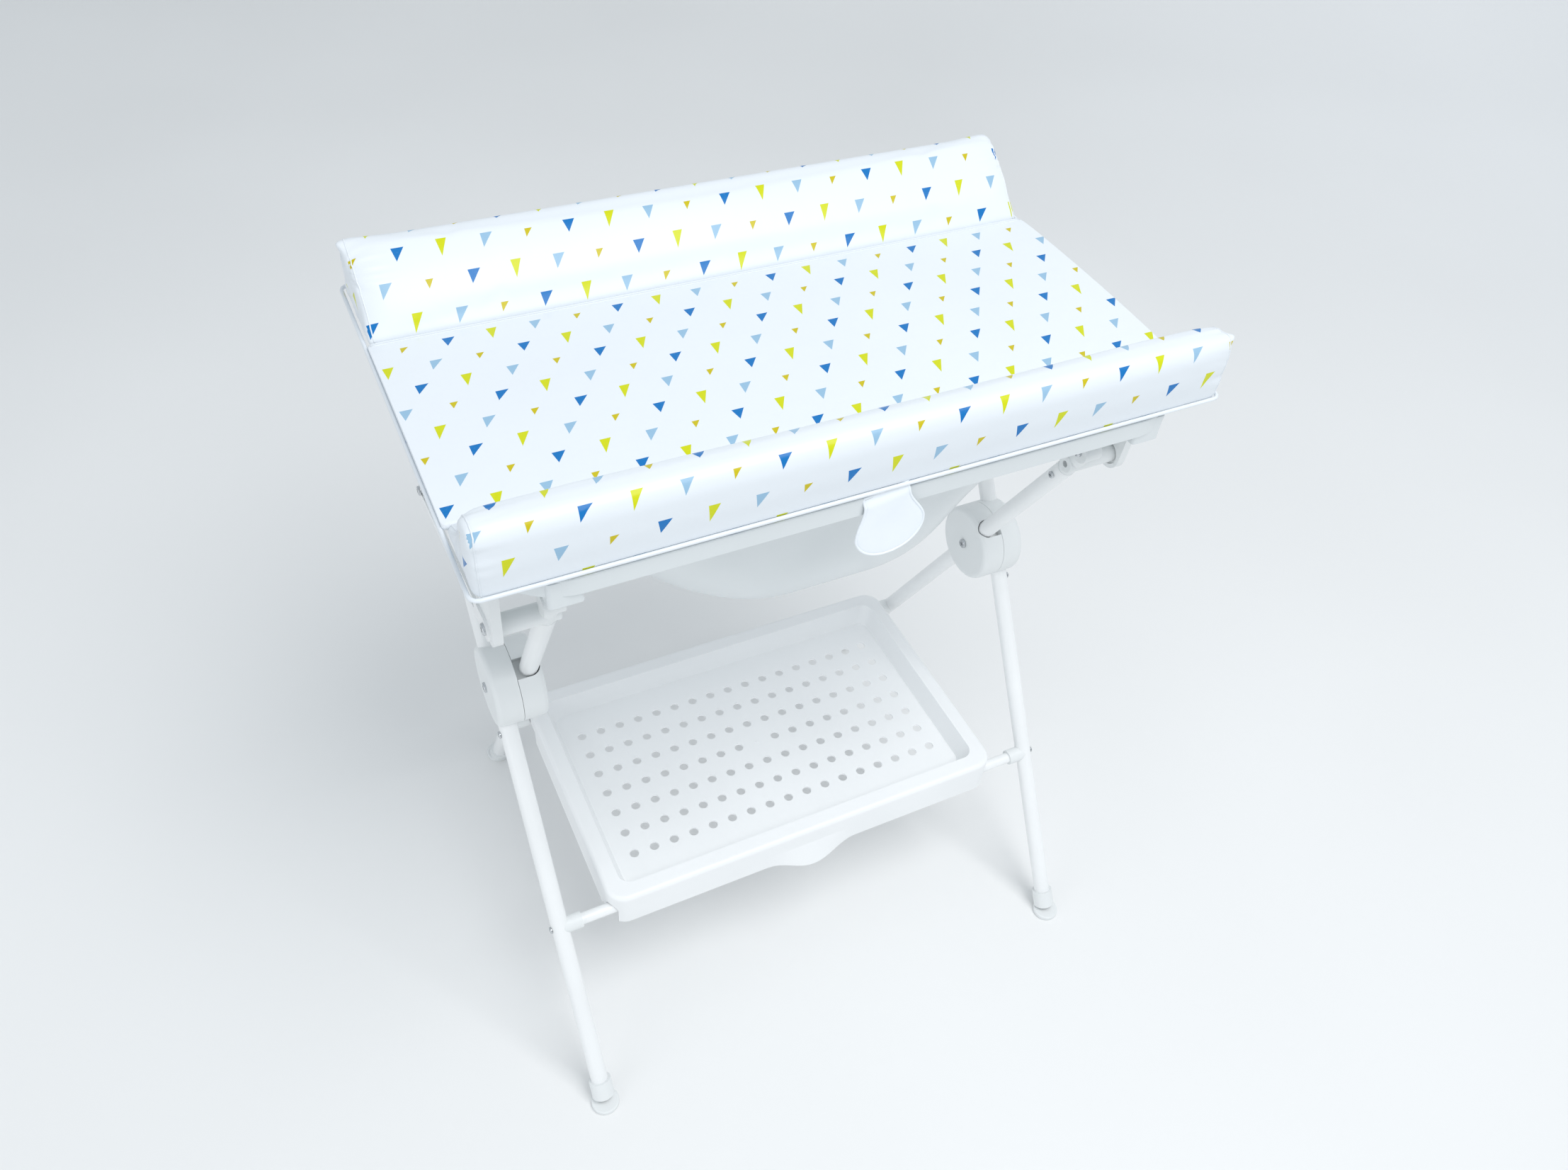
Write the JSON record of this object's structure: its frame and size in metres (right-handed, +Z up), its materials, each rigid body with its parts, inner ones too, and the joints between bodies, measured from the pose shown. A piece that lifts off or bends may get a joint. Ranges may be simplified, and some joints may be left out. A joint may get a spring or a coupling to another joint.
{
  "type": "changing table with bathtub",
  "caption": "Padded changing top with two bolsters, hinged over a bathtub on a folding X stand with a storage tray between the crossbars.",
  "frame": {"origin": "on the floor, under the middle of the four feet", "axes": "+X along the long side, +Y from the pull tab side to the hinge side, +Z up"},
  "size_m": [0.8, 0.633, 0.9563],
  "materials": {
    "white_tube": "smooth white powder coat",
    "white_plastic": "moulded, satin",
    "screw_steel": "bright zinc",
    "hinge_steel": "satin zinc",
    "tub_plastic": "thin moulded, slightly translucent",
    "drain_plastic": "moulded",
    "plug_rubber": "soft, pale",
    "printed_vinyl": "padded vinyl with small printed triangles",
    "board": "stiff sheet",
    "tray_plastic": "moulded, satin"
  },
  "bodies": {
    "front_frame": {"front_leg_left": "white_tube", "front_leg_right": "white_tube", "knuckle_outer_left": "white_plastic", "knuckle_outer_right": "white_plastic", "pivot_bolts": "screw_steel", "front_crossbar": "white_tube", "front_crossbar_collars": "white_plastic", "front_crossbar_screws": "screw_steel", "knuckle_leg_screws": "screw_steel", "foot_front_left": "white_plastic", "foot_front_right": "white_plastic", "slide_fitting_left": "white_plastic", "slide_fitting_right": "white_plastic", "slide_fitting_screws": "screw_steel"},
    "rear_frame": {"rear_leg_left": "white_tube", "rear_leg_right": "white_tube", "knuckle_inner_left": "white_plastic", "knuckle_inner_right": "white_plastic", "rear_crossbar": "white_tube", "rear_crossbar_collars": "white_plastic", "rear_crossbar_screws": "screw_steel", "foot_rear_left": "white_plastic", "foot_rear_right": "white_plastic", "strut_fitting_left": "white_plastic", "strut_fitting_right": "white_plastic", "strut_fitting_screws": "screw_steel", "lock_pins": "screw_steel"},
    "cradle": {"bathtub": "tub_plastic", "drain_outlet": "drain_plastic", "drain_nut": "drain_plastic", "front_pivot_pins": "screw_steel", "rail_rivets": "screw_steel", "hinge_lower_leaves": "hinge_steel", "hinge_pins": "screw_steel", "front_hanger_left": "white_plastic", "front_hanger_right": "white_plastic", "rear_hanger_left": "white_plastic", "rear_hanger_right": "white_plastic", "slide_rail_left": "white_tube", "slide_rail_right": "white_tube"},
    "slide_pins": {"slide_pins": "screw_steel"},
    "changer_top": {"changer_board": "board", "bed_pad": "printed_vinyl", "near_bolster": "printed_vinyl", "far_bolster": "printed_vinyl", "pull_tab": "printed_vinyl", "hinge_upper_leaves": "hinge_steel"},
    "tray": {"tray": "tray_plastic", "tray_clips": "tray_plastic", "tray_rests": "tray_plastic"},
    "drain_plug": {"drain_plug": "plug_rubber"}
  },
  "joints": [
    {"name": "stand_fold", "type": "hinge", "parent": "front_frame", "child": "rear_frame", "pos_m": [0, 0.0215, 0.498], "axis": [-1, 0, 0], "range_deg": [0, 58]},
    {"name": "cradle_tilt", "type": "hinge", "parent": "rear_frame", "child": "cradle", "pos_m": [0, -0.1164, 0.74593], "axis": [-1, 0, 0], "range_deg": [0, 30.6]},
    {"name": "rail_slide", "type": "slide", "parent": "cradle", "child": "slide_pins", "axis": [0, -0.9869, 0.1611], "range_m": [0, 0.2279]},
    {"name": "changer_lift", "type": "hinge", "parent": "cradle", "child": "changer_top", "pos_m": [0, 0.2943, 0.866], "axis": [-1, 0, 0], "range_deg": [0, 95]},
    {"name": "tray_lift", "type": "hinge", "parent": "front_frame", "child": "tray", "pos_m": [0, -0.15649, 0.221], "axis": [1, 0, 0], "range_deg": [0, 58]},
    {"name": "plug_pull", "type": "slide", "parent": "cradle", "child": "drain_plug", "axis": [0, 0, 1], "range_m": [0, 0.02]}
  ],
  "couplings": [
    {"joint": "cradle_tilt", "follows": "stand_fold", "ratio": 0.52665},
    {"joint": "rail_slide", "follows": "stand_fold", "m_per_rad": 0.22506},
    {"joint": "tray_lift", "follows": "stand_fold", "ratio": 1}
  ]
}
